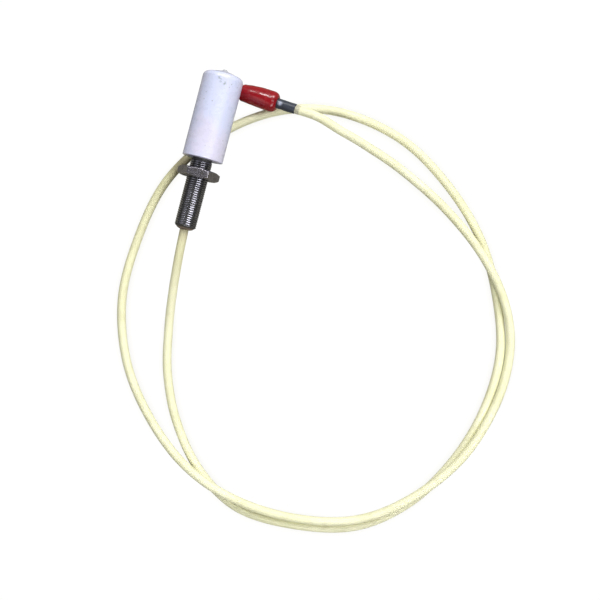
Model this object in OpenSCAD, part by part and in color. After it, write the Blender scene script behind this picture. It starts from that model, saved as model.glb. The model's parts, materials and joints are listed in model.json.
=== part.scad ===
// Ignition electrode: a glazed ceramic head on a threaded M10 x 1 sleeve with a lock nut, and a braided
// high-tension lead that lies in two loose turns and ends in a socket under a red slide-back boot.
// Millimetres. +Y runs along the electrode axis towards the ceramic tip and +Z is up.
// The origin is on the electrode axis, at the nut end of the free thread. The table is at z = table_z.

/* [Ceramic] */
// Outer diameter of the glazed insulator
ceramic_d = 18.8; // [16:0.2:19]
// Length of the insulator from its rear face to its tip
ceramic_len = 42; // [36:0.5:60]
// Slope of the conical tip in degrees
tip_slope = 15; // [10:1:24]
// Rounding between the wall and the tip cone
tip_round = 2.6; // [1:0.1:3.5]

/* [Sleeve and nut] */
// Length of the free thread behind the nut
free_thread = 23; // [14:1:40]
// Nut size across its flats
nut_af = 17; // [15:0.5:17]
// Thickness of the lock nut
nut_h = 4.2; // [4:0.1:6]
// Bare neck between the nut and the insulator
neck_len = 4.9; // [2:0.1:8]

/* [Spark rod] */
// Diameter of the spark rod
rod_d = 2.3; // [1.6:0.1:2.6]

/* [Boot and ferrule] */
// Outer diameter of the boot at its widest, near its rear end
boot_d = 9.7; // [9.2:0.1:9.8]
// Outer diameter of the boot at its mouth
boot_nose_d = 8.6; // [8.2:0.1:8.8]
// Length of the boot
boot_len = 18; // [16:0.5:18]
// How far the ferrule shows behind the boot
ferrule_show = 9; // [8.6:0.1:12]
// Outer diameter of the ferrule
ferrule_d = 4.8; // [4.4:0.1:5]

/* [Hidden] */
$fn = 96;

// The lead lies on the table, and the insulator rests across the lead.
lead_r = 2;
rest_gap = 0.1;
table_z = -(ceramic_d / 2 + 2 * lead_r + rest_gap);
lie = table_z + lead_r;

// M10 x 1 thread, drawn as rings.
thread_r = 5;
pitch = 1;
crest = 0.52;
thread_depth = 0.42;
root_r = thread_r - thread_depth;
end_chamfer = 0.8;
undercut = 0.78;

// Stations along the electrode axis.
sleeve_rear = -free_thread;
first_crest = sleeve_rear + end_chamfer;
free_turns = floor(free_thread - end_chamfer) + 1;
stored_crest = first_crest + free_turns - 1 + crest + undercut;
nut_rear = 0.1;
nut_front = nut_rear + nut_h;
ceramic_rear = nut_front + neck_len;
ceramic_tip = ceramic_rear + ceramic_len;
stored_turns = floor(ceramic_rear - stored_crest);
bush_flange = 1;
lead_exit = sleeve_rear - bush_flange;
bush_front = sleeve_rear + 8;
spigot_front = ceramic_rear + 11.5;
cement_rear = ceramic_rear + 1;
joint_rear = spigot_front - 3;
joint_front = joint_rear + 11;
rod_rear = joint_front - 5;
cement_front = ceramic_tip - 8;

// Radii inside the electrode.
core_r = 1.45;
wire_r = 0.6;
sleeve_bore_r = 2.9;
spigot_r = 4.3;
cement_r = 4.7;
joint_r = 2.1;
tube_r = 2.8;
pocket_r = 2.9;
rod_r = rod_d / 2;
rod_seal_r = rod_r + 0.6;
nut_clear = 0.06;

// Route of the lead, from the bush to the socket's tail: over itself at three long low humps.
tail = [36.3, 42.2, lie + 8.7];
route = [
    [0, lead_exit, 0], [0.5, -36, -1], [1.5, -53, -6], [3.5, -70, -10.5], [8, -90, lie],
    [17.5, -110.5, lie], [33.2, -129.7, lie], [55.1, -142.6, lie], [83, -143.7, lie],
    [110.6, -137.2, lie], [131.9, -120.4, lie], [146.5, -96.8, lie], [154.5, -71, lie],
    [155.5, -44, lie], [147.8, -19, lie], [134, 5.5, lie], [114, 25.5, lie], [89, 41, lie],
    [62, 47, lie], [38, 44.5, lie], [17, 34.5, lie], [-2, 17, lie], [-15.5, -6, lie],
    [-21, -34, lie], [-21, -62, lie], [-12, -89, lie], [4, -111, lie + 0.5],
    [25.5, -128.5, lie + 3.4], [50, -138, lie + 4.3], [79, -140.5, lie + 2.6],
    [108, -134.5, lie + 3.2], [130.5, -119, lie + 4.3], [149.5, -94.5, lie + 4.2],
    [159, -67, lie + 1.8], [159.7, -42, lie + 1], [152, -21, lie + 3.4], [135.9, -1.2, lie + 4.3],
    [114, 15.8, lie + 1.1], [90, 28.2, lie + 0.5], [70, 35, lie + 3.6], [58, 37.9, lie + 8],
    [46.3, 41.1, lie + 10.4], tail
];
lead_sides = 8;
lead_steps = 2;

// The socket lies along its own axis: yaw and dip of the line from the lead's tail to the boot's mouth.
plug_yaw = -5.2;
plug_dip = 12;

// Stations along the socket axis, from the lead's tail.
band_len = 1;
boot_rear = band_len + ferrule_show;
boot_front = boot_rear + boot_len;
ferrule_front = boot_rear + 4;
barrel_rear = ferrule_front - 1;
barrel_front = barrel_rear + 5;
socket_front = boot_front - 1;
socket_depth = 8;

// Radii of the socket and boot.
ferrule_r = ferrule_d / 2;
boot_r = boot_d / 2;
barrel_r = 1.5;
crimp_r = 2;
socket_r = 2.8;
socket_bore_r = 2;
slit_w = 0.5;
spring_w = 1.2;
spring_t = 0.35;
mouth_r = 3.2;
boot_clear = 0.05;
nose_r = boot_nose_d / 2;
nose_len = 1.2;
heel_len = 3;
heel_round = 2.2;
waist_len = 2;

// One ring of thread per pitch: crest, crest, root.
function turns(from, count) = [
    for (k = [0 : count - 1])
    each [
        [thread_r, from + k * pitch],
        [thread_r, from + k * pitch + crest],
        [root_r, from + (k + 0.5) * pitch + crest / 2]
    ]
];

// Catmull-Rom curve through the route.
function tangent(i) =
    i == 0 ? route[1] - route[0]
    : i == len(route) - 1 ? route[i] - route[i - 1]
    : (route[i + 1] - route[i - 1]) / 2;

function on_curve(i, t) =
    (2 * pow(t, 3) - 3 * pow(t, 2) + 1) * route[i]
    + (pow(t, 3) - 2 * pow(t, 2) + t) * tangent(i)
    + (3 * pow(t, 2) - 2 * pow(t, 3)) * route[i + 1]
    + (pow(t, 3) - pow(t, 2)) * tangent(i + 1);

function unit(v) = v / norm(v);

centres = [
    for (i = [0 : len(route) - 2])
    for (k = [0 : lead_steps - 1])
    on_curve(i, k / lead_steps),
    tail
];

function heading(j) =
    j == 0 ? [0, -1, 0]
    : j == len(centres) - 1 ? plug_axis
    : unit(centres[j + 1] - centres[j - 1]);

plug_axis = [
    -cos(plug_dip) * cos(plug_yaw),
    -cos(plug_dip) * sin(plug_yaw),
    -sin(plug_dip)
];

// Ring j of the lead, square to the curve, with its first side level with the table.
function ring(j) =
    let (
        along = heading(j),
        side = unit(cross([0, 0, 1], along)),
        up = cross(along, side)
    )
    [
        for (s = [0 : lead_sides - 1])
        let (a = (s + 0.5) * 360 / lead_sides)
        centres[j] + lead_r * (cos(a) * side + sin(a) * up)
    ];

// Stands a child that is built along +Z on the electrode axis.
module on_axis() {
    rotate([-90, 0, 0]) children();
}

// Stands a child that is built along +Z on the socket axis, from the lead's tail.
module on_plug() {
    translate(tail)
        rotate([0, -90 - plug_dip, plug_yaw])
            children();
}

// A round tube from one station to another.
module tube(outer, inner, from, to) {
    translate([0, 0, from])
        difference() {
            cylinder(r = outer, h = to - from);
            translate([0, 0, -1])
                cylinder(r = inner, h = to - from + 2);
        }
}

module rod(r, from, to) {
    translate([0, 0, from]) cylinder(r = r, h = to - from);
}

// Glazed insulator: a plain wall, a rounded shoulder and a shallow cone, bored from its rear face.
module ceramic_insulator() {
    r = ceramic_d / 2;
    neck = r - tip_round;
    cone_r = neck + tip_round * sin(tip_slope);
    cone_z = ceramic_tip - cone_r * tan(tip_slope);
    round_z = cone_z - tip_round * cos(tip_slope);
    color("ghostwhite") on_axis()
        rotate_extrude()
            polygon(concat(
                [[cement_r, ceramic_rear], [r - 0.4, ceramic_rear], [r, ceramic_rear + 0.4]],
                [
                    for (k = [0 : 12])
                    let (a = k * (90 - tip_slope) / 12)
                    [neck + tip_round * cos(a), round_z + tip_round * sin(a)]
                ],
                [
                    [rod_r, ceramic_tip - rod_r * tan(tip_slope)],
                    [rod_r, cement_front],
                    [rod_seal_r, cement_front],
                    [rod_seal_r, joint_front + 1],
                    [pocket_r, joint_front + 1],
                    [pocket_r, spigot_front],
                    [cement_r, spigot_front]
                ]
            ));
}

// Spark rod with a domed tip flush with the cone.
module spark_rod() {
    dome = 0.5;
    color("dimgray") on_axis()
        rotate_extrude()
            polygon([
                [0, rod_rear],
                [rod_r, rod_rear],
                [rod_r, ceramic_tip - dome],
                [rod_r - 0.25, ceramic_tip - 0.15],
                [rod_r - 0.6, ceramic_tip],
                [0, ceramic_tip]
            ]);
}

module rod_cement() {
    color("wheat") on_axis()
        tube(rod_seal_r, rod_r, joint_front + 1, cement_front);
}

// Brass barrel that joins the rod to the lead's conductor.
module contact_joint() {
    wall_mid = joint_rear + 5;
    color("goldenrod") on_axis()
        difference() {
            rod(joint_r, joint_rear, joint_front);
            rod(rod_r, rod_rear, joint_front + 1);
            rod(wire_r, joint_rear - 1, wall_mid);
        }
}

// Insulating tube between the live joint and the steel sleeve.
module inner_tube() {
    color("whitesmoke") on_axis()
        difference() {
            rod(tube_r, bush_front, spigot_front);
            rod(core_r, bush_front - 1, joint_rear + 0.01);
            rod(joint_r, joint_rear, spigot_front + 1);
        }
}

// Steel sleeve: free thread, undercut, the turns that the nut is stored on, and the cemented spigot.
module threaded_sleeve() {
    color("slategray") on_axis()
        rotate_extrude()
            polygon(concat(
                [[sleeve_bore_r, sleeve_rear], [thread_r - end_chamfer, sleeve_rear]],
                turns(first_crest, free_turns - 1),
                [
                    [thread_r, stored_crest - undercut - crest],
                    [thread_r, stored_crest - undercut],
                    [root_r, stored_crest - undercut + 0.24],
                    [root_r, stored_crest - 0.24]
                ],
                turns(stored_crest, stored_turns),
                [
                    [root_r, ceramic_rear],
                    [spigot_r, ceramic_rear],
                    [spigot_r, spigot_front],
                    [sleeve_bore_r, spigot_front]
                ]
            ));
}

module sleeve_cement() {
    color("tan") on_axis()
        tube(cement_r, spigot_r, cement_rear, spigot_front);
}

// Thin hexagon nut, chamfered on both faces.
module lock_nut() {
    corner = nut_af / 2 / cos(30);
    reach = corner + 1;
    flat_r = nut_af / 2 - 0.35;
    fall = (reach - flat_r) * tan(27);
    bore_r = thread_r + nut_clear;
    color("rosybrown") on_axis()
        translate([0, 0, nut_rear])
            difference() {
                intersection() {
                    rotate(1.5) cylinder(r = corner, h = nut_h, $fn = 6);
                    rotate_extrude()
                        polygon([
                            [0, 0], [flat_r, 0], [reach, fall],
                            [reach, nut_h - fall], [flat_r, nut_h], [0, nut_h]
                        ]);
                }
                rotate_extrude()
                    polygon([
                        [0, -1], [bore_r + 0.6, -1], [bore_r + 0.6, 0], [bore_r, 0.6],
                        [bore_r, nut_h - 0.6], [bore_r + 0.6, nut_h], [bore_r + 0.6, nut_h + 1],
                        [0, nut_h + 1]
                    ]);
            }
}

// Brown seal that closes the sleeve around the lead.
module rear_bush() {
    flange_r = thread_r - end_chamfer - 0.2;
    color("saddlebrown") on_axis()
        rotate_extrude()
            polygon([
                [core_r, lead_exit],
                [flange_r - 0.6, lead_exit],
                [flange_r, lead_exit + 0.6],
                [flange_r, sleeve_rear],
                [sleeve_bore_r, sleeve_rear],
                [sleeve_bore_r, bush_front],
                [core_r, bush_front]
            ]);
}

// Braided jacket of the lead, swept along the route.
module lead_jacket() {
    last = len(centres) - 1;
    n = lead_sides;
    color("palegoldenrod")
        polyhedron(
            points = [for (j = [0 : last]) each ring(j)],
            faces = concat(
                [[for (s = [0 : n - 1]) s]],
                [
                    for (j = [0 : last - 1])
                    for (s = [0 : n - 1])
                    let (a = j * n + s, b = j * n + (s + 1) % n)
                    each [[a, a + n, b + n], [a, b + n, b]]
                ],
                [[for (s = [n - 1 : -1 : 0]) last * n + s]]
            )
        );
}

module lead_core_rear() {
    color("ivory") on_axis()
        difference() {
            rod(core_r, lead_exit, joint_rear - 3);
            rod(wire_r, joint_rear - 9, joint_rear);
        }
}

module conductor_rear() {
    color("darkorange") on_axis()
        rod(wire_r, joint_rear - 9, joint_rear + 5);
}

// Whipping that holds the cut braid behind the ferrule.
module braid_band() {
    color("white") on_plug()
        tube(ferrule_r - 0.15, core_r, 0, band_len);
}

module ferrule() {
    color("darkslategray") on_plug()
        rotate_extrude()
            polygon([
                [core_r, band_len],
                [ferrule_r - 0.2, band_len],
                [ferrule_r, band_len + 0.2],
                [ferrule_r, ferrule_front - 0.2],
                [ferrule_r - 0.2, ferrule_front],
                [barrel_r, ferrule_front],
                [barrel_r, barrel_rear],
                [core_r, barrel_rear]
            ]);
}

module lead_core_front() {
    color("ivory") on_plug()
        difference() {
            rod(core_r, 0, barrel_rear);
            rod(wire_r, barrel_rear - 6, barrel_rear + 1);
        }
}

module conductor_front() {
    color("darkorange") on_plug()
        rod(wire_r, barrel_rear - 6, barrel_front - 0.5);
}

// Copper sleeve crimped over the barrel, with two dents.
module crimp_sleeve() {
    length = barrel_front - ferrule_front - 0.4;
    color("peru") on_plug()
        difference() {
            tube(crimp_r, barrel_r, ferrule_front + 0.2, barrel_front - 0.2);
            for (side = [0, 180])
                rotate(side)
                    translate([crimp_r - 0.2, -2, ferrule_front + 0.2 + length / 3])
                        cube([1, 4, length / 3]);
        }
}

// Brass socket for a 4 mm pin: crimp barrel, collar and a slit mouth with a groove for its spring.
module terminal() {
    groove_rear = socket_front - 3;
    color("gold") on_plug()
        difference() {
            rotate_extrude()
                polygon([
                    [0, barrel_rear],
                    [barrel_r, barrel_rear],
                    [barrel_r, barrel_front],
                    [socket_r, barrel_front],
                    [socket_r, groove_rear],
                    [socket_r - spring_t, groove_rear],
                    [socket_r - spring_t, groove_rear + spring_w],
                    [socket_r, groove_rear + spring_w],
                    [socket_r, socket_front - 0.3],
                    [socket_r - 0.3, socket_front],
                    [0, socket_front]
                ]);
            rod(wire_r, barrel_rear - 1, barrel_front - 0.5);
            rod(socket_bore_r, socket_front - socket_depth, socket_front + 1);
            for (turn = [0, 90])
                rotate(turn)
                    translate([-socket_r - 1, -slit_w / 2, socket_front - socket_depth + 2])
                        cube([2 * socket_r + 2, slit_w, socket_depth]);
        }
}

// Split steel ring that squeezes the socket's fingers.
module terminal_spring() {
    groove_rear = socket_front - 3;
    color("silver") on_plug()
        difference() {
            tube(socket_r, socket_r - spring_t, groove_rear, groove_rear + spring_w);
            rotate(45)
                translate([0, -0.5, groove_rear - 1])
                    cube([socket_r + 1, 1, spring_w + 2]);
        }
}

// Red boot: a hollow front over the socket that narrows to its mouth, and a close rear neck that slides
// on the ferrule.
module boot() {
    rear_bore_r = ferrule_r + boot_clear;
    shoulder = ferrule_front + 0.6;
    taper_rear = boot_rear + heel_len + waist_len;
    taper_len = boot_front - nose_len - taper_rear;
    lip = nose_r - mouth_r - 0.1;
    color("crimson") on_plug()
        rotate_extrude()
            polygon(concat(
                [
                    [mouth_r, boot_front],
                    [mouth_r, shoulder + 1],
                    [rear_bore_r, shoulder],
                    [rear_bore_r, boot_rear]
                ],
                [
                    for (k = [0 : 8])
                    let (a = k * 90 / 8)
                    [boot_r - heel_round + heel_round * sin(a), boot_rear + heel_len - heel_len * cos(a)]
                ],
                [
                    for (k = [0 : 8])
                    let (a = k * 180 / 8)
                    [nose_r + (boot_r - nose_r) * (1 + cos(a)) / 2, taper_rear + taper_len * k / 8]
                ],
                [
                    for (k = [1 : 6])
                    let (a = k * 90 / 6)
                    [nose_r - lip + lip * cos(a), boot_front - nose_len + nose_len * sin(a)]
                ]
            ));
}

ceramic_insulator();
spark_rod();
rod_cement();
contact_joint();
inner_tube();
threaded_sleeve();
sleeve_cement();
lock_nut();
rear_bush();
lead_jacket();
lead_core_rear();
conductor_rear();
braid_band();
ferrule();
lead_core_front();
conductor_front();
crimp_sleeve();
terminal();
terminal_spring();
boot();
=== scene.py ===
# Ignition electrode with a braided high-tension lead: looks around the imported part.
import json
import math

import bmesh
import bpy
import numpy as np
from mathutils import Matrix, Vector


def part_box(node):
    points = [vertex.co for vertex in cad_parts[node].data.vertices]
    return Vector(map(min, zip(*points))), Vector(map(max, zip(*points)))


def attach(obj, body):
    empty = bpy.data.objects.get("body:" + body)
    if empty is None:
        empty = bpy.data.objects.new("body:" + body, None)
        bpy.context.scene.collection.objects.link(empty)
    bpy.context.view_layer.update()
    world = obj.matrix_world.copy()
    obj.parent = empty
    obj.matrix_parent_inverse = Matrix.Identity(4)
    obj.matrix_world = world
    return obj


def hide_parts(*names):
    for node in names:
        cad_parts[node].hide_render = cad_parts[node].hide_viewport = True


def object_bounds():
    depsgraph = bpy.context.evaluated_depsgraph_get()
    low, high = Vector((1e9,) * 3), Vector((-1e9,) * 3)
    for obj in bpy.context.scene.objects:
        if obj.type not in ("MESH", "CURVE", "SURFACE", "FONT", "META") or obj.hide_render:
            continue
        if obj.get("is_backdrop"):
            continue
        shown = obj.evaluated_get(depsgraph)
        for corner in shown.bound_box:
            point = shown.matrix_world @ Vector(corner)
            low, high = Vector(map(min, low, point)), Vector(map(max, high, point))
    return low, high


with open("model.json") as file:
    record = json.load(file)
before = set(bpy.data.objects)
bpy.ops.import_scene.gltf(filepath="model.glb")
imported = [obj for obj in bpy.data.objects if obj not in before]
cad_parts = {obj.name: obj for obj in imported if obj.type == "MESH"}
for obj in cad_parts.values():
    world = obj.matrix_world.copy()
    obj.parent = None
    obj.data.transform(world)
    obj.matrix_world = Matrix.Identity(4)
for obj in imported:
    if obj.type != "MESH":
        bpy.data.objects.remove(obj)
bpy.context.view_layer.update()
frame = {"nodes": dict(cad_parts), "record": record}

MM = 0.001
mounts = {mount["name"]: mount for mount in frame["record"]["mounts"]}


def span(node, axis):
    """Lowest and highest place of a CAD node along one axis, in millimetres."""
    low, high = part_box(node)
    return low[axis] / MM, high[axis] / MM


# ---------------------------------------------------------------- sizes

X, Y, Z = 0, 1, 2

CERAMIC_REAR, CERAMIC_TIP = span("ceramic_insulator", Y)
CERAMIC_R = span("ceramic_insulator", X)[1]
ROD_R = span("spark_rod", X)[1]
TIP_SLOPE = math.radians(15)
TIP_ROUND = 2.6
FOOT_ROUND = 0.35
FOOT_HEIGHT = 0.8
SMUDGES = ((-0.6, 45.8, 9), (0.2, 44.6, 9), (1.9, 43.9, 9))

SLEEVE_REAR, SPIGOT_FRONT = span("threaded_sleeve", Y)
THREAD_R = span("threaded_sleeve", X)[1]
PITCH = 1.0
THREAD_DEPTH = 0.26
CREST_SHARE = 0.35
FLANK_SHARE = 0.6
RING_STEP = 0.1
RUN_OUT_START = 1.6
RUN_OUT_LENGTH = 0.9
NECK_DEPTH = 0.4
SLEEVE_CHAMFER = 0.85
CHAMFER_SLOPE = 1.1
SPIGOT_R = 4.3
SLEEVE_BORE = 2.9
SEAL_FRONT = -15.0

NUT_REAR, NUT_FRONT = span("lock_nut", Y)
NUT_FLATS = 17.0
NUT_CORNER = 0.3
NUT_TURN = math.radians(1.5)
NUT_BORE = 5.06
NUT_LEAD_IN = 0.55
NUT_FACE_R = NUT_FLATS / 2 - 0.35
NUT_CHAMFER = math.radians(27)
NUT_EASE = 0.22
NUT_GROOVE = 0.4

# The lead: LIE is its centreline's height on the table, LAY the length in which a yarn goes once round,
# YARNS their number each way and FILAMENTS the number across one. The last two lengths are in metres.
LEAD_EXIT = -24.0
LIE = -11.5
LEAD_R = 2.02
CURVE_STEPS = 60
BRAID_DEPTH = 0.1
YARNS = 10
FILAMENTS = 5
LAY = 17.9
LEAD_SIDES = 40
CORE_R = 1.45

# Stations of the socket end are counted from the lead's last point towards the socket's mouth.
TAIL_TO_MOUTH = 27.0
BAND_REAR = -1.3
BAND_FRONT = 1.0
BAND_R = 1.92
BAND_THREAD = 0.28
BAND_BULGE = 0.24
FERRULE_R = 2.4
BOOT_REAR = 10.0
BOOT_FRONT = 28.0
BOOT_R = 4.85
HEEL_ROUND = 2.2
HEEL_LENGTH = 3.0
TAPER_REAR = BOOT_REAR + 5
TAPER_LENGTH = 11.8
NOSE_R = 4.3
LIP_ROUND = 1.0
LIP_LENGTH = 1.2
MOUTH_R = 3.2
WEAR_REAR = 22.5
WEAR_LENGTH = 4.0
WEAR_DEPTH = 0.6
FERRULE_FRONT = BOOT_REAR + 4
BARREL_R = 1.5

# The lead's route from the bush to the socket's tail, over itself at three long low humps.
ROUTE = [
    (0, LEAD_EXIT, 0), (0.5, -36, -1), (1.5, -53, -6), (3.5, -70, -10.5), (8, -90, LIE),
    (17.5, -110.5, LIE), (33.2, -129.7, LIE), (55.1, -142.6, LIE), (83, -143.7, LIE),
    (110.6, -137.2, LIE), (131.9, -120.4, LIE), (146.5, -96.8, LIE), (154.5, -71, LIE),
    (155.5, -44, LIE), (147.8, -19, LIE), (134, 5.5, LIE), (114, 25.5, LIE), (89, 41, LIE),
    (62, 47, LIE), (38, 44.5, LIE), (17, 34.5, LIE), (-2, 17, LIE), (-15.5, -6, LIE),
    (-21, -34, LIE), (-21, -62, LIE), (-12, -89, LIE), (4, -111, LIE + 0.5),
    (25.5, -128.5, LIE + 3.4), (50, -138, LIE + 4.3), (79, -140.5, LIE + 2.6),
    (108, -134.5, LIE + 3.2), (130.5, -119, LIE + 4.3), (149.5, -94.5, LIE + 4.2),
    (159, -67, LIE + 1.8), (159.7, -42, LIE + 1), (152, -21, LIE + 3.4), (135.9, -1.2, LIE + 4.3),
    (114, 15.8, LIE + 1.1), (90, 28.2, LIE + 0.5), (70, 35, LIE + 3.6), (58, 37.9, LIE + 8),
    (46.3, 41.1, LIE + 10.4), (36.3, 42.2, LIE + 8.7),
]


# ---------------------------------------------------------------- camera

# The lens takes in a square of VIEW_WIDTH at the height of the electrode's axis.
CAMERA_HEIGHT = 0.6
VIEW_WIDTH = 0.2736
VIEW_CENTRE = (0.05916, -0.04191)
VIEW_TURN = math.radians(14.48)
camera_data = bpy.data.cameras.new("camera")
camera_data.sensor_width = 36
camera_data.lens = camera_data.sensor_width * CAMERA_HEIGHT / VIEW_WIDTH
camera = bpy.data.objects.new("camera", camera_data)
camera.location = (*VIEW_CENTRE, CAMERA_HEIGHT)
camera.rotation_euler = (0, 0, VIEW_TURN)
bpy.context.scene.collection.objects.link(camera)
bpy.context.scene.camera = camera
bpy.context.scene.view_settings.view_transform = "Standard"


# ---------------------------------------------------------------- axes

class Axis:
    """A straight axis: origin, direction, and the two directions square to it, from up towards side."""

    def __init__(self, origin, along):
        self.origin = np.array(origin, float)
        self.along = np.array(along, float) / np.linalg.norm(along)
        side = np.cross(self.along, (0, 0, 1))
        self.side = side / np.linalg.norm(side)
        self.up = np.cross(self.side, self.along)

    def ring(self, radius, angle, station):
        """Points at radius (one or one per angle), angle from up towards side, and station, in mm."""
        radius = np.broadcast_to(radius, angle.shape)[:, None]
        station = np.broadcast_to(station, angle.shape)[:, None]
        out = np.cos(angle)[:, None] * self.up + np.sin(angle)[:, None] * self.side
        return self.origin + station * self.along + radius * out


def angles(sides):
    """Even angles round one turn."""
    return np.arange(sides) * 2 * math.pi / sides


ELECTRODE = Axis((0, 0, 0), (0, 1, 0))
mouth = mounts["lead_socket"]
plug_along = np.array(mouth["axis"])
PLUG = Axis(np.array(mouth["pos_m"]) / MM - TAIL_TO_MOUTH * plug_along, plug_along)


# ---------------------------------------------------------------- materials

def shade(red, green, blue):
    """A colour given as it looks, 0 to 255, in Blender's linear light."""
    linear = [((c / 255 + 0.055) / 1.055) ** 2.4 if c > 10 else c / 3295 for c in (red, green, blue)]
    return (*linear, 1)


class Nodes:
    """A node tree in the making. Most calls add a node and return its output."""

    def __init__(self, owner):
        owner.use_nodes = True
        self.tree = owner.node_tree

    def feed(self, socket, value):
        if isinstance(value, bpy.types.NodeSocket):
            self.tree.links.new(value, socket)
        else:
            socket.default_value = value

    def node(self, kind, inputs, output=0, **settings):
        made = self.tree.nodes.new("ShaderNode" + kind)
        for key, value in settings.items():
            setattr(made, key, value)
        for key, value in inputs.items():
            self.feed(made.inputs[key], value)
        return made.outputs[output]

    def math(self, operation, *values):
        return self.node("Math", dict(enumerate(values)), operation=operation)

    def part(self, vector, axis):
        return self.node("SeparateXYZ", {0: vector}, output=axis)

    def between(self, value, low, high, to_low=0, to_high=1, ease="SMOOTHSTEP"):
        """value eased from low..high to to_low..to_high."""
        return self.node("MapRange", {0: value, 1: low, 2: high, 3: to_low, 4: to_high},
                         interpolation_type=ease)

    def mix(self, share, first, second):
        return self.node("Mix", {0: share, 6: first, 7: second}, output=2, data_type="RGBA")

    def split(self, light, seen, kind):
        """Ends the tree: the scene gets light, and the eye gets seen."""
        eye = self.node("LightPath", {}, output="Is Camera Ray")
        end = self.tree.nodes.new("ShaderNodeOutput" + kind)
        self.feed(end.inputs[0], self.node("MixShader", {0: eye, 1: light, 2: seen}))


class Finish(Nodes):
    """A material in the making, on the principled shader."""

    def __init__(self, name, **values):
        self.material = bpy.data.materials.new(name)
        super().__init__(self.material)
        self.surface = self.tree.nodes["Principled BSDF"]
        self.place = self.node("TexCoord", {}, output="Object")
        self.done(**values)

    def scaled(self, size, stretch=(1, 1, 1)):
        """Object coordinates in steps of size millimetres, drawn out along an axis by stretch."""
        steps = tuple(1 / (size * MM * s) for s in stretch)
        return self.node("VectorMath", {0: self.place, 1: steps}, operation="MULTIPLY")

    def noise(self, size, detail=3, roughness=0.5, stretch=(1, 1, 1)):
        inputs = {"Vector": self.scaled(size, stretch), "Scale": 1, "Detail": detail, "Roughness": roughness}
        return self.node("TexNoise", inputs)

    def spots(self, size, radius):
        """1 in small round spots about size millimetres apart, 0 between them."""
        far = self.node("TexVoronoi", {"Vector": self.scaled(size), "Scale": 1})
        return self.between(far, radius, radius * 0.5)

    def close_to(self, point, reach):
        """1 at a point given in millimetres, eased to 0 at reach millimetres from it."""
        away = self.node("VectorMath", {0: self.place, 1: tuple(c * MM for c in point)}, output=1,
                         operation="DISTANCE")
        return self.between(away, reach * MM, 0)

    def bump(self, height, depth, normal=None):
        """A bump of depth millimetres where height goes from 0 to 1, on top of an earlier normal."""
        inputs = {"Height": height, "Distance": depth * MM, "Strength": 1}
        if normal is not None:
            inputs["Normal"] = normal
        return self.node("Bump", inputs)

    def done(self, **values):
        """Sets or links the shader's inputs, named with _ for a space, and returns the material."""
        for socket, value in values.items():
            self.feed(self.surface.inputs[socket.replace("_", " ")], value)
        return self.material


def axis_distance(f):
    """Distance in millimetres from the electrode's axis."""
    flat = f.node("VectorMath", {0: f.place, 1: (1 / MM, 0, 1 / MM)}, operation="MULTIPLY")
    return f.node("VectorMath", {0: flat}, output=1, operation="LENGTH")


def glazed_ceramic():
    """White glaze with a cool cast, a few smudges by the tip and rare specks."""
    f = Finish("glazed_ceramic", Coat_Weight=0.4, Coat_Roughness=0.14, Subsurface_Weight=0.08,
               Subsurface_Scale=0.002, Subsurface_Radius=(1, 0.9, 0.8))
    cool, warm = shade(209, 214, 240), shade(216, 212, 233)
    tint = f.mix(f.between(f.noise(14, 2), 0.42, 0.72), cool, warm)
    cloud = f.between(f.noise(4.5, 3), 0.35, 0.75, 0, 0.2)
    tint = f.mix(cloud, tint, shade(199, 203, 229))
    for mark in SMUDGES:
        ragged = f.between(f.noise(0.9, 4, 0.6), 0.4, 0.6, 0, 0.85)
        tint = f.mix(f.math("MULTIPLY", f.close_to(mark, 1.5), ragged), tint, shade(128, 142, 134))
    rare = f.between(f.noise(9, 1), 0.5, 0.62)
    speck = f.math("MULTIPLY", f.math("MULTIPLY", f.spots(2.7, 0.14), rare), 0.6)
    tint = f.mix(speck, tint, shade(122, 126, 128))
    wave = f.bump(f.noise(7, 2), 0.16)
    skin = f.bump(f.noise(1.1, 4, 0.55), 0.012, wave)
    rough = f.between(f.noise(3, 3), 0.3, 0.7, 0.22, 0.36)
    return f.done(Base_Color=tint, Roughness=rough, Normal=skin, Coat_Normal=wave)


def machined_steel(name, light, dark, grime_and_shade, turned, polish, crest=THREAD_R, grime_and_shade_depth=0.14):
    """Turned steel: grime and painted shade in the roots, polished crests, fine tool marks around the axis.
    """
    f = Finish(name, Metallic=1.0)
    blotch = f.between(f.noise(3.5, 4, 0.6), 0.35, 0.7)
    tint = f.mix(blotch, light, dark)
    film = f.between(f.noise(1.3, 4, 0.65), 0.45, 0.75, 0, 0.6)
    tint = f.mix(film, tint, grime_and_shade)
    # Darker thread roots and flanks: partly grime, partly painted shade.
    root_grime_and_shade = f.between(axis_distance(f), crest - grime_and_shade_depth, crest - 0.04, 0.85, 0)
    tint = f.mix(root_grime_and_shade, tint, grime_and_shade)
    marks = f.noise(0.35, 2, 0.6, stretch=turned)
    pits = f.noise(0.6, 4, 0.7)
    rough = f.math("ADD", f.between(blotch, 0, 1, *polish), f.between(root_grime_and_shade, 0, 0.85, 0, 0.4))
    normal = f.bump(pits, 0.003, f.bump(marks, 0.003))
    return f.done(Base_Color=tint, Roughness=rough, Normal=normal)


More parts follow.
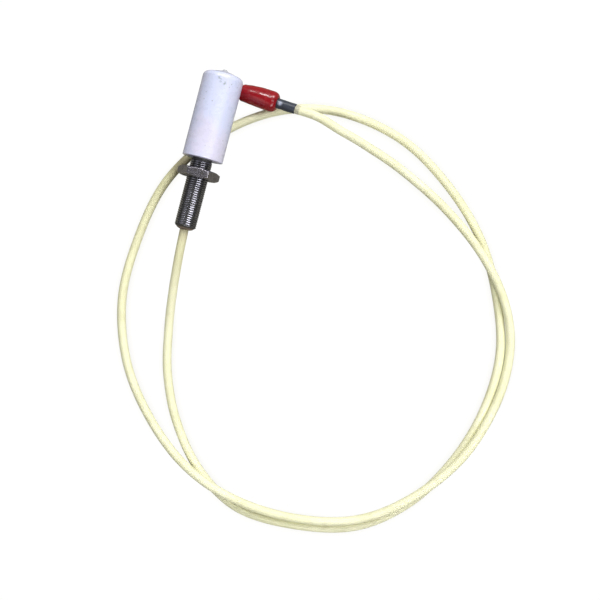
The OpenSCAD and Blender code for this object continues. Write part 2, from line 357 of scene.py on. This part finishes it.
def braid():
    """Two families of yarns over and under each other, each yarn a bundle of fine filaments."""
    f = Finish("braid", Sheen_Weight=0.06, Sheen_Roughness=0.4, Sheen_Tint=shade(255, 252, 225),
               Coat_Weight=0.12, Coat_Roughness=0.35)
    lay = f.node("TexCoord", {}, output="UV")
    around, down = (f.math("MULTIPLY", f.part(lay, axis), YARNS) for axis in (X, Y))
    first, second = f.math("ADD", around, down), f.math("SUBTRACT", around, down)
    wave_a = f.math("COSINE", f.math("MULTIPLY", first, math.pi))
    wave_b = f.math("COSINE", f.math("MULTIPLY", second, math.pi))
    cross = f.math("MULTIPLY", wave_a, wave_b)
    high_a = f.math("ADD", f.math("ABSOLUTE", wave_a), cross)
    high_b = f.math("SUBTRACT", f.math("ABSOLUTE", wave_b), cross)
    on_top = f.between(f.math("SUBTRACT", high_a, high_b), -0.15, 0.15)
    filament_a = f.math("COSINE", f.math("MULTIPLY", first, 2 * math.pi * FILAMENTS))
    filament_b = f.math("COSINE", f.math("MULTIPLY", second, 2 * math.pi * FILAMENTS))
    filaments = f.node("Mix", {0: on_top, 2: filament_b, 3: filament_a}, data_type="FLOAT")
    height = f.math("MAXIMUM", high_a, high_b)
    yarn_gap_shade = f.between(height, 0.75, 0.2)
    tint = f.mix(f.between(f.noise(22, 2), 0.35, 0.7), shade(243, 242, 205), shade(233, 232, 190))
    fibre = f.between(f.noise(1.6, 3, 0.5), 0.4, 0.75, 0, 0.3)
    tint = f.mix(fibre, tint, shade(250, 249, 224))
    soil = f.between(f.noise(6, 4, 0.6), 0.52, 0.78, 0, 0.35)
    tint = f.mix(soil, tint, shade(205, 201, 156))
    # Centre, reach in mm, share and colour; the first two darken the lead by the sleeve's rear end.
    stains_and_painted_shadow = [((0, SLEEVE_REAR, 0), 36, 0.6, shade(196, 192, 146)),
              ((0, SLEEVE_REAR, 0), 10, 0.6, shade(172, 160, 138)),
              # These two are painted shadow of the ceramic's foot and the nut on the lead.
              ((-10, 4, LIE), 50, 0.6, shade(200, 197, 150)),
              ((-8, 5, LIE), 12, 0.8, shade(146, 132, 104))]
    for centre, reach, share, colour in stains_and_painted_shadow:
        tint = f.mix(f.math("MULTIPLY", f.close_to(centre, reach), share), tint, colour)
    # Painted shade darkens the gaps between the yarns.
    tint = f.mix(f.math("MULTIPLY", yarn_gap_shade, 0.22), tint, shade(164, 156, 108))
    tint = f.mix(f.between(filaments, -1, 0, 0.04, 0), tint, shade(176, 168, 120))
    normal = f.bump(f.between(filaments, -1, 1), 0.02)
    normal = f.bump(f.noise(0.6, 2, 0.5), 0.015, normal)
    rough = f.between(fibre, 0, 0.4, 0.55, 0.72)
    return f.done(Base_Color=tint, Roughness=rough, Normal=normal)


def red_boot():
    """Glossy red rubber with a slight haze and an uneven skin."""
    f = Finish("red_boot", Specular_IOR_Level=0.4, Coat_Weight=0.2, Coat_Roughness=0.09)
    tint = f.mix(f.between(f.noise(5, 3), 0.35, 0.7), shade(144, 12, 24), shade(126, 9, 20))
    haze = f.between(f.noise(2.1, 4, 0.6), 0.5, 0.8, 0, 0.1)
    tint = f.mix(haze, tint, shade(166, 46, 52))
    wave = f.bump(f.noise(3.2, 2), 0.14)
    skin = f.bump(f.noise(0.6, 4, 0.6), 0.012, wave)
    rough = f.between(f.noise(1.8, 3), 0.35, 0.7, 0.16, 0.32)
    return f.done(Base_Color=tint, Roughness=rough, Normal=skin, Coat_Normal=wave)


def moulded(name, base, second, rough, size=2.0, depth=0.03, stain=None, **values):
    """Moulded, cast or drawn stuff: two tones, patchy roughness and a fine skin."""
    f = Finish(name, **values)
    tint = f.mix(f.between(f.noise(size, 4, 0.6), 0.35, 0.7), base, second)
    tint = f.mix(f.between(f.noise(size * 0.3, 4, 0.7), 0.5, 0.8, 0, 0.4), tint, stain or second)
    skin = f.bump(f.noise(size * 0.25, 4, 0.65), depth, f.bump(f.noise(size * 2, 2), depth * 3))
    patches = f.between(f.noise(size * 0.8, 3), 0.3, 0.7, rough - 0.07, rough + 0.09)
    return f.done(Base_Color=tint, Roughness=patches, Normal=skin)


def grey_sleeve():
    """Dark shrunk sleeve with a painted bluish-white highlight by the boot's heel."""
    f = Finish("grey_sleeve", Specular_IOR_Level=0.4)
    tint = f.mix(f.between(f.noise(2.4, 4, 0.6), 0.35, 0.7), shade(56, 61, 72), shade(43, 46, 54))
    tint = f.mix(f.between(f.noise(0.7, 4, 0.7), 0.5, 0.8, 0, 0.35), tint, shade(78, 83, 93))
    heel = PLUG.ring(FERRULE_R, np.array([0.0]), BOOT_REAR - 1.7)[0]
    # The pale bluish-white patch by the boot's heel is a painted highlight.
    painted_highlight = f.math("MULTIPLY", f.close_to(heel, 1.6), f.between(f.noise(0.8, 4, 0.6), 0.3, 0.6, 0.45, 1))
    tint = f.mix(painted_highlight, tint, shade(178, 186, 206))
    wrinkles = f.bump(f.noise(0.6, 4, 0.65), 0.05, f.bump(f.noise(4.8, 2), 0.15))
    rough = f.between(f.noise(1.9, 3), 0.3, 0.7, 0.28, 0.44)
    return f.done(Base_Color=tint, Roughness=rough, Normal=wrinkles)


def wound_thread():
    """Pale thread, its strands drawn out along the winding."""
    f = Finish("wound_thread", Sheen_Weight=0.3)
    tint = f.mix(f.between(f.noise(0.9, 4, 0.65), 0.35, 0.7), shade(204, 202, 180), shade(172, 168, 146))
    strand = f.noise(0.16, 2, 0.5, stretch=(0.6, 3, 3))
    fuzz = f.bump(f.noise(0.3, 4, 0.7), 0.04, f.bump(strand, 0.05))
    return f.done(Base_Color=tint, Roughness=f.between(strand, 0.3, 0.7, 0.5, 0.7), Normal=fuzz)


LOOKS = {
    "glazed_ceramic": glazed_ceramic(),
    "nickelled_steel": machined_steel("nickelled_steel", shade(158, 155, 164), shade(138, 134, 140),
                                      shade(112, 106, 92), (3, 1, 3), (0.26, 0.29),
                                      crest=NUT_BORE + 0.3, grime_and_shade_depth=0.4),
    "dark_steel": machined_steel("dark_steel", shade(162, 162, 174), shade(136, 136, 146),
                                 shade(76, 75, 70), (6, 0.5, 6), (0.14, 0.22)),
    "heat_alloy": moulded("heat_alloy", shade(206, 207, 210), shade(176, 178, 180), 0.5, 1.2, 0.03,
                          shade(150, 152, 150), Metallic=0.35),
    "brass": moulded("brass", shade(214, 182, 104), shade(188, 150, 76), 0.3, 1.6, 0.012,
                     shade(140, 108, 58), Metallic=1.0),
    "copper": moulded("copper", shade(214, 138, 102), shade(184, 106, 76), 0.32, 1.2, 0.02,
                      shade(120, 74, 54), Metallic=1.0),
    "cement": moulded("cement", shade(214, 204, 184), shade(186, 174, 150), 0.85, 1.2, 0.12),
    "white_plastic": moulded("white_plastic", shade(236, 234, 226), shade(222, 219, 208), 0.42, 3, 0.015),
    "brown_seal": moulded("brown_seal", shade(112, 96, 84), shade(86, 72, 62), 0.42, 1.6, 0.1,
                          shade(140, 124, 108), Coat_Weight=0.2, Coat_Roughness=0.3),
    "braid": braid(),
    "white_thread": wound_thread(),
    "silicone": moulded("silicone", shade(232, 229, 210), shade(214, 210, 188), 0.5, 2.2, 0.02),
    "grey_sleeve": grey_sleeve(),
    "red_boot": red_boot(),
}


# ---------------------------------------------------------------- building

def place(mesh_object, look, body, replaces=()):
    """Gives a new piece its material, slot and body, and hides the CAD nodes that it stands for."""
    mesh_object.data.materials.append(LOOKS[look])
    bpy.context.scene.collection.objects.link(mesh_object)
    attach(mesh_object, body)
    if replaces:
        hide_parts(*replaces)
    return mesh_object


WELD_REACH = 2e-7


def skin(name, rows, loop=False, uv=None, sharp=35):
    """A mesh over rows of rings, in millimetres. A loop joins the last ring to the first. A ring whose
    points all meet closes an end. uv holds a pair for each row and column, with one more column."""
    count, sides = rows.shape[:2]
    row_pairs = [(i, (i + 1) % count) for i in range(count if loop else count - 1)]
    faces = [(a * sides + k, a * sides + (k + 1) % sides, b * sides + (k + 1) % sides, b * sides + k)
             for a, b in row_pairs for k in range(sides)]
    mesh = bpy.data.meshes.new(name)
    mesh.from_pydata((rows.reshape(-1, 3) * MM).tolist(), [], faces)
    if uv is not None:
        layer = mesh.uv_layers.new(name="lay")
        corners = [uv[i][k] for a, b in row_pairs for s in range(sides)
                   for i, k in ((a, s), (a, s + 1), (b, s + 1), (b, s))]
        layer.data.foreach_set("uv", np.array(corners, np.float32).ravel())
    shape = bmesh.new()
    shape.from_mesh(mesh)
    bmesh.ops.remove_doubles(shape, verts=shape.verts, dist=WELD_REACH)
    bmesh.ops.recalc_face_normals(shape, faces=shape.faces)
    shape.to_mesh(mesh)
    shape.free()
    mesh.shade_smooth()
    mesh.set_sharp_from_angle(angle=math.radians(sharp))
    return bpy.data.objects.new(name, mesh)


def outline(*corners, closed=True, steps=4):
    """(radius, station) points through corners. A corner with a third value, its rounding, is eased."""
    points = [np.array(c[:2], float) for c in corners]
    made = []
    for i, corner in enumerate(corners):
        here = points[i]
        if len(corner) < 3 or not (closed or 0 < i < len(corners) - 1):
            made.append(here)
            continue
        before, after = points[i - 1], points[(i + 1) % len(points)]
        reach = [min(corner[2], 0.48 * np.linalg.norm(p - here)) for p in (before, after)]
        start = here + (before - here) * reach[0] / np.linalg.norm(before - here)
        end = here + (after - here) * reach[1] / np.linalg.norm(after - here)
        for t in np.linspace(0, 1, steps + 1):
            made.append((1 - t) ** 2 * start + 2 * t * (1 - t) * here + t * t * end)
    return np.array(made)


def lathe(name, axis, points, sides, loop=True, change=None):
    """Turns an outline round an axis. change(radius, station, angle) gives each point's own radius."""
    turn = angles(sides)
    rows = [axis.ring(change(r, s, turn) if change else r, turn, s) for r, s in points]
    return skin(name, np.array(rows), loop)


def arc(centre, radius, start, end, steps):
    """Points of an arc in (radius, station), degrees from the radial direction."""
    turn = np.radians(np.linspace(start, end, steps + 1))
    return [(centre[0] + radius * np.cos(a), centre[1] + radius * np.sin(a)) for a in turn]


def ripple(angle, station, size, seed):
    """A smooth irregular wave between about -1 and 1 over a turned surface."""
    total = 0
    for k in range(1, 4):
        total = total + np.sin(k * angle + seed * k + station / size * (1 + 0.37 * k)) / k
        total = total + np.sin(station / size * 1.7 * k + seed * 1.3 * k - (k % 2) * angle) / k
    return total / 3


# ---------------------------------------------------------------- lead

def curve(points, step):
    """Catmull-Rom curve through points, at even steps: places, headings and lengths gone so far."""
    points = np.array(points, float)
    slope = np.gradient(points, axis=0)
    t = np.linspace(0, 1, CURVE_STEPS, endpoint=False)[:, None]
    dense = [
        (2 * t**3 - 3 * t**2 + 1) * here + (t**3 - 2 * t**2 + t) * leaving
        + (3 * t**2 - 2 * t**3) * there + (t**3 - t**2) * arriving
        for here, there, leaving, arriving in zip(points, points[1:], slope, slope[1:])
    ]
    dense = np.vstack([*dense, points[-1:]])
    gone = np.concatenate([[0], np.cumsum(np.linalg.norm(np.diff(dense, axis=0), axis=1))])
    stops = np.linspace(0, gone[-1], round(gone[-1] / step) + 1)
    places = np.column_stack([np.interp(stops, gone, dense[:, i]) for i in range(3)])
    headings = np.gradient(places, axis=0)
    return places, headings / np.linalg.norm(headings, axis=1)[:, None], stops


def braided_lead():
    """The lead as one mesh: its yarns stand out of the jacket, over and under each other."""
    places, headings, stops = curve(ROUTE, LAY / LEAD_SIDES)
    turn = angles(LEAD_SIDES)
    side = np.cross((0, 0, 1), headings)
    side /= np.linalg.norm(side, axis=1)[:, None]
    up = np.cross(headings, side)
    around, down = YARNS * turn[None, :] / (2 * math.pi), YARNS * stops[:, None] / LAY
    wave_a, wave_b = np.cos(math.pi * (around + down)), np.cos(math.pi * (around - down))
    height = np.maximum(np.abs(wave_a) + wave_a * wave_b, np.abs(wave_b) - wave_a * wave_b) / 2
    radius = LEAD_R + BRAID_DEPTH * (height - 0.6)
    out = np.cos(turn)[None, :, None] * side[:, None, :] + np.sin(turn)[None, :, None] * up[:, None, :]
    rows = places[:, None, :] + radius[:, :, None] * out
    ends = [np.broadcast_to(places[i], rows[:1].shape) for i in (0, -1)]
    rows = np.concatenate([ends[0], rows, ends[1]])
    stops = np.concatenate([[stops[0]], stops, [stops[-1]]])
    uv = [[(k / LEAD_SIDES, s / LAY) for k in range(LEAD_SIDES + 1)] for s in stops]
    made = skin("braided_lead", rows, uv=uv, sharp=80)
    return place(made, "braid", "electrode", ["lead_jacket"]), places * MM


lead, lead_path = braided_lead()


# ---------------------------------------------------------------- socket end of the lead

def whipping():
    """Turns of thread over the cut braid, wound close, each one a ridge."""
    points = [(CORE_R, BAND_FRONT), (CORE_R, BAND_REAR)]
    for i in range(round((BAND_FRONT - BAND_REAR) / BAND_THREAD)):
        for part in (0.05, 0.3, 0.5, 0.7, 0.95):
            bulge = math.sin(part * math.pi)
            points.append((BAND_R + BAND_BULGE * bulge, BAND_REAR + (i + part) * BAND_THREAD))

    def change(radius, station, turn):
        return radius + 0.03 * ripple(turn, station, 0.7, 2.1) if radius > CORE_R else radius

    made = lathe("thread_whipping", PLUG, points, 48, change=change)
    return place(made, "white_thread", "electrode", ["braid_band"])


def grey_ferrule():
    """Dark sleeve shrunk on the lead, with a rolled rear edge and a soft waist."""
    points = outline(
        (CORE_R, BAND_FRONT + 0.1), (FERRULE_R - 0.25, BAND_FRONT + 0.02, 0.1),
        (FERRULE_R, BAND_FRONT + 0.35, 0.3), (FERRULE_R - 0.06, 3.2, 1), (FERRULE_R - 0.02, 6.5, 1),
        (FERRULE_R, 9.5, 1), (FERRULE_R, FERRULE_FRONT - 0.3, 0.2), (FERRULE_R - 0.2, FERRULE_FRONT, 0.1),
        (BARREL_R, FERRULE_FRONT), (BARREL_R, FERRULE_FRONT - 1), (CORE_R, FERRULE_FRONT - 1),
    )

    def change(radius, station, turn):
        return radius + 0.035 * (ripple(turn, station, 1.6, 0.4) - 1) if radius > 2 else radius

    made = lathe("grey_ferrule", PLUG, points, 64, change=change)
    return place(made, "grey_sleeve", "electrode", ["ferrule"])


def slide_boot():
    """Soft red boot: rounded heel, a fuller rear, and a nose that narrows to the mouth."""
    heel = [(BOOT_R - HEEL_ROUND * (1 - math.sin(t)), BOOT_REAR + HEEL_LENGTH * (1 - math.cos(t)))
            for t in np.linspace(0, math.pi / 2, 12)]
    taper = [(NOSE_R + (BOOT_R - NOSE_R) * (1 + math.cos(math.pi * t)) / 2, TAPER_REAR + TAPER_LENGTH * t)
             for t in np.linspace(0, 1, 25)]
    lip = [(NOSE_R - LIP_ROUND * (1 - math.cos(t)), BOOT_FRONT - LIP_LENGTH * (1 - math.sin(t)))
           for t in np.linspace(0.15, math.pi / 2, 9)]
    rear_bore = FERRULE_R + 0.05
    inner = [(MOUTH_R, BOOT_FRONT - 0.1), (MOUTH_R, FERRULE_FRONT + 1.6),
             (rear_bore, FERRULE_FRONT + 0.6), (rear_bore, BOOT_REAR)]

    def change(radius, station, turn):
        inside = radius < MOUTH_R + 0.05 and station > BOOT_REAR + HEEL_LENGTH
        if inside or station < BOOT_REAR + 0.01:
            return radius
        soft = 0.06 * (ripple(turn, station, 2.2, 1.1) - 0.3)
        wear = min(max((station - WEAR_REAR) / WEAR_LENGTH, 0), 1)
        painted_highlight = WEAR_DEPTH * wear**2 * (0.5 + 0.5 * np.sin(turn))
        thinnest = FERRULE_R + 0.1 if station < WEAR_REAR else MOUTH_R + 0.06
        return np.maximum(radius + soft - painted_highlight, thinnest)

    made = lathe("slide_boot", PLUG, [*heel, *taper, *lip, *inner], 96, change=change)
    return place(made, "red_boot", "boot", ["boot"])


band, ferrule_piece, boot_piece = whipping(), grey_ferrule(), slide_boot()


# ---------------------------------------------------------------- electrode

def ceramic():
    """Glazed insulator: eased rear edge, round shoulder, shallow cone and a small pool round the rod."""
    neck = CERAMIC_R - TIP_ROUND
    cone_r = neck + TIP_ROUND * math.sin(TIP_SLOPE)
    cone_z = CERAMIC_TIP - cone_r * math.tan(TIP_SLOPE)
    round_z = cone_z - TIP_ROUND * math.cos(TIP_SLOPE)
    shoulder = arc((neck, round_z), TIP_ROUND, 0, 90 - math.degrees(TIP_SLOPE), 16)
    cone = [(r, CERAMIC_TIP - r * math.tan(TIP_SLOPE)) for r in np.linspace(cone_r, ROD_R + 0.45, 10)[1:]]
    rim_z = cone[-1][1]
    rim = [(ROD_R + 0.3, rim_z + 0.01), (ROD_R + 0.12, rim_z - 0.02), (ROD_R, rim_z - 0.16)]
    foot_z = CERAMIC_REAR + FOOT_HEIGHT
    wall = [(CERAMIC_R, s) for s in np.linspace(foot_z, round_z - 0.3, 60)]
    cement_r = span("sleeve_cement", X)[1]
    foot = outline((cement_r, CERAMIC_REAR), (CERAMIC_R, CERAMIC_REAR, FOOT_ROUND), (CERAMIC_R, foot_z),
                   closed=False, steps=8)
    seal_rear, seal_front = span("rod_cement", Y)
    seal_r, tube_r = span("rod_cement", X)[1], span("inner_tube", X)[1] + 0.1
    inner = [(ROD_R, seal_front), (seal_r, seal_front), (seal_r, seal_rear), (tube_r, seal_rear),
             (tube_r, SPIGOT_FRONT), (cement_r, SPIGOT_FRONT)]

    def change(radius, station, turn):
        soft = 0.03 * (ripple(turn, station, 9, 0.8) - 0.7)
        return radius + soft if radius > 5 and station > CERAMIC_REAR + 0.1 else radius

    made = lathe("glazed_insulator", ELECTRODE, [*foot, *wall[1:], *shoulder, *cone, *rim, *inner], 160,
                 change=change)
    return place(made, "glazed_ceramic", "electrode", ["ceramic_insulator"])


def thread(crest, depth, turn, station):
    """Radius of a right-hand thread: rounded crest, sloped flanks, narrow root."""
    phase = np.mod(station / PITCH - turn / (2 * math.pi), 1)
    off_crest = np.abs(phase - 0.5) * 2
    fall = np.clip((off_crest - CREST_SHARE) / FLANK_SHARE, 0, 1)
    return crest - depth * fall * fall * (3 - 2 * fall)


def threaded_sleeve():
    """Turned steel sleeve: a true helical thread, a chamfered rear end and a run-out by the ceramic."""
    turn = angles(96)
    rows = []
    for s in np.arange(SLEEVE_REAR, CERAMIC_REAR + 0.001, RING_STEP):
        run_out = min(max((s - CERAMIC_REAR + RUN_OUT_START) / RUN_OUT_LENGTH, 0), 1)
        crest = THREAD_R - 0.02 - run_out * NECK_DEPTH
        radius = thread(crest, THREAD_DEPTH * (1 - run_out), turn, s)
        chamfer = THREAD_R - SLEEVE_CHAMFER + (s - SLEEVE_REAR) * CHAMFER_SLOPE
        rows.append(ELECTRODE.ring(np.minimum(radius, chamfer), turn, s))
    inner = outline((SPIGOT_R, CERAMIC_REAR), (SPIGOT_R, SPIGOT_FRONT, 0.3),
                    (SLEEVE_BORE, SPIGOT_FRONT, 0.3), (SLEEVE_BORE, SLEEVE_REAR), closed=False)
    rows += [ELECTRODE.ring(r, turn, s) for r, s in inner]
    return place(skin("threaded_barrel", np.array(rows), loop=True), "dark_steel", "electrode",
                 ["threaded_sleeve"])


def hexagon(turn, flats, corner):
    """Radius of a hexagon with rounded corners, flats across its flats."""
    half = flats / 2
    off = np.abs(np.mod(turn - NUT_TURN + math.pi / 6, math.pi / 3) - math.pi / 6)
    centre = (half - corner) / math.cos(math.pi / 6)
    from_corner = math.pi / 6 - off
    on_arc = from_corner < math.atan2(corner / 2, centre + corner * math.cos(math.pi / 6))
    inside = np.clip(corner**2 - (centre * np.sin(from_corner)) ** 2, 0, None)
    return np.where(on_arc, centre * np.cos(from_corner) + np.sqrt(inside), half / np.cos(off))


def hex_nut():
    """Thin hexagon nut, chamfered on both faces, with eased edges and its thread cut inside."""
    turn = angles(240)
    level, slope = np.zeros_like(turn), math.tan(NUT_CHAMFER)
    side = np.maximum(hexagon(turn, NUT_FLATS, NUT_CORNER), NUT_FACE_R + 0.05)
    fall = (side - NUT_FACE_R) * slope
    half_rows = [(level + NUT_BORE + 0.6, level), (level + NUT_FACE_R - 0.5, level),
                 (level + NUT_FACE_R - 0.12, level), (level + NUT_FACE_R, level + 0.02)]
    top = side - NUT_EASE * 0.9
    for share in (0.35, 0.7):
        r = NUT_FACE_R + (top - NUT_FACE_R) * share
        half_rows.append((r, (r - NUT_FACE_R) * slope))
    for t in (0, 0.25, 0.5, 0.75, 1):
        cut = np.array([top, np.maximum(fall - NUT_EASE * 0.9 * slope, 0.02)])
        corner = np.array([side, fall])
        flank = np.array([side, fall + NUT_EASE])
        bent = (1 - t) ** 2 * cut + 2 * t * (1 - t) * corner + t * t * flank
        half_rows.append((bent[0], bent[1]))
    half_rows.append((side, fall + NUT_EASE + 0.1))
    rows = [ELECTRODE.ring(r, turn, NUT_REAR + z) for r, z in half_rows]
    rows += [ELECTRODE.ring(r, turn, NUT_FRONT - z) for r, z in half_rows[::-1]]
    for s in np.arange(NUT_FRONT, NUT_REAR - 0.001, -RING_STEP):
        edge = min(NUT_FRONT - s, s - NUT_REAR)
        lead_in = NUT_BORE + max(NUT_LEAD_IN - edge, 0)
        groove = NUT_BORE + thread(NUT_GROOVE, NUT_GROOVE, turn, s)
        rows.append(ELECTRODE.ring(np.maximum(lead_in, groove), turn, s))
    return place(skin("hexagon_nut", np.array(rows), loop=True, sharp=30), "nickelled_steel", "nut",
                 ["lock_nut"])


def seal():
    """Brown seal that wells out of the sleeve round the lead, a little uneven."""
    points = outline(
        (CORE_R, LEAD_EXIT), (2.05, LEAD_EXIT, 0.1), (2.6, LEAD_EXIT + 0.05, 0.4),
        (3.5, LEAD_EXIT + 0.45, 0.5), (3.95, LEAD_EXIT + 0.8, 0.3), (3.98, SLEEVE_REAR),
        (SLEEVE_BORE, SLEEVE_REAR), (SLEEVE_BORE, SEAL_FRONT), (CORE_R, SEAL_FRONT),
    )

    def change(radius, station, turn):
        outer = 2.1 < radius and station < SLEEVE_REAR - 0.01
        return radius + 0.07 * (ripple(turn, station, 0.9, 3.0) - 0.8) if outer else radius

    made = lathe("brown_seal", ELECTRODE, points, 72, change=change)
    return place(made, "brown_seal", "electrode", ["rear_bush"])


ceramic()
threaded_sleeve()
hex_nut()
seal()

# The looks of the CAD nodes that stay as they are.
CAD_LOOKS = {
    "spark_rod": "heat_alloy", "rod_cement": "cement", "contact_joint": "brass",
    "inner_tube": "white_plastic", "sleeve_cement": "cement", "lead_core_rear": "silicone",
    "conductor_rear": "copper", "lead_core_front": "silicone", "conductor_front": "copper",
    "crimp_sleeve": "copper", "terminal": "brass", "terminal_spring": "nickelled_steel",
}
for node, look in CAD_LOOKS.items():
    kept = frame["nodes"][node]
    kept.data.materials.clear()
    kept.data.materials.append(LOOKS[look])


# ---------------------------------------------------------------- floor and light

PLAIN_WHITE = (1.03, 1.03, 1.03, 1)
CONTACT_SHADE = (0.87, 0.86, 0.81, 1)
CREVICE_SHADE = (0.36, 0.36, 0.19, 1)
TABLE_BOUNCE = (0.26, 0.25, 0.21, 1)
FLOOR_HALF = 1.6
CONTACT_REACH = 0.004


def floor():
    """White table. The eye sees plain white with a faint warm contact shadow, deeper in a slit between
    two runs of the lead; the pieces get a duller light back from it, so that their sides stay shaded."""
    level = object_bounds()[0].z
    corners = [(FLOOR_HALF * x, FLOOR_HALF * y, level) for x, y in ((-1, -1), (1, -1), (1, 1), (-1, 1))]
    mesh = bpy.data.meshes.new("floor")
    mesh.from_pydata(corners, [], [(0, 1, 2, 3)])
    material = bpy.data.materials.new("table_top")
    top = Nodes(material)
    top.tree.nodes.clear()
    open_sky = top.node("AmbientOcclusion", {"Distance": CONTACT_REACH}, output="AO")
    contact = top.mix(open_sky, CONTACT_SHADE, PLAIN_WHITE)
    crevice = top.mix(top.between(open_sky, 0.15, 0.45, ease="LINEAR"), CREVICE_SHADE, contact)
    light = top.node("BsdfDiffuse", {"Color": TABLE_BOUNCE})
    top.split(light, top.node("Emission", {"Color": crevice}), "Material")
    mesh.materials.append(material)
    made = bpy.data.objects.new("floor", mesh)
    bpy.context.scene.collection.objects.link(made)
    made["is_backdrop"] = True


def softbox(name, place_at, size, power, target=(0.06, -0.04, 0), tint=(1, 1, 1)):
    """A rectangular lamp, aimed at target."""
    lamp = bpy.data.lights.new(name, "AREA")
    lamp.shape = "RECTANGLE"
    lamp.size, lamp.size_y = size
    lamp.energy = power
    lamp.color = tint
    made = bpy.data.objects.new(name, lamp)
    made.location = place_at
    made.rotation_euler = (Vector(target) - Vector(place_at)).to_track_quat("-Z", "Y").to_euler()
    bpy.context.scene.collection.objects.link(made)


def sky():
    """Soft room light, brightest past the tip, with a dull zenith and a dark horizon; the eye sees an
    even white."""
    world = bpy.data.worlds.new("room")
    bpy.context.scene.world = world
    air = Nodes(world)
    air.tree.nodes.clear()
    heading = air.node("TexCoord", {}, output="Generated")
    past_tip = air.between(air.part(heading, Y), 0.15, 0.75, 0.08, 1.1)
    past_tail = air.between(air.part(heading, Y), -0.2, -0.8, 0.08, 0.5)
    rise = air.between(air.part(heading, Z), 0.1, 0.6, 0.25, 1.15)
    strength = air.math("MULTIPLY", air.math("ADD", past_tip, past_tail), rise)
    light = air.node("Background", {"Strength": strength})
    air.split(light, air.node("Background", {"Color": PLAIN_WHITE}), "World")


floor()
sky()
softbox("key", (0.30, 0.95, 0.75), (0.5, 0.4), 8.5, tint=(1, 0.99, 0.97))
softbox("window", (-0.36, 0.74, 0.75), (0.3, 0.2), 3.5, target=(0.02, 0.04, 0))
softbox("streak", (0.52, 0.0, 0.95), (0.13, 0.8), 2.6)
softbox("front", (0.34, -0.44, 0.38), (0.4, 0.15), 1.4, target=(0.07, -0.12, 0))
softbox("fill", (-0.6, -0.35, 0.6), (0.5, 0.5), 0.8, tint=(0.95, 0.97, 1))
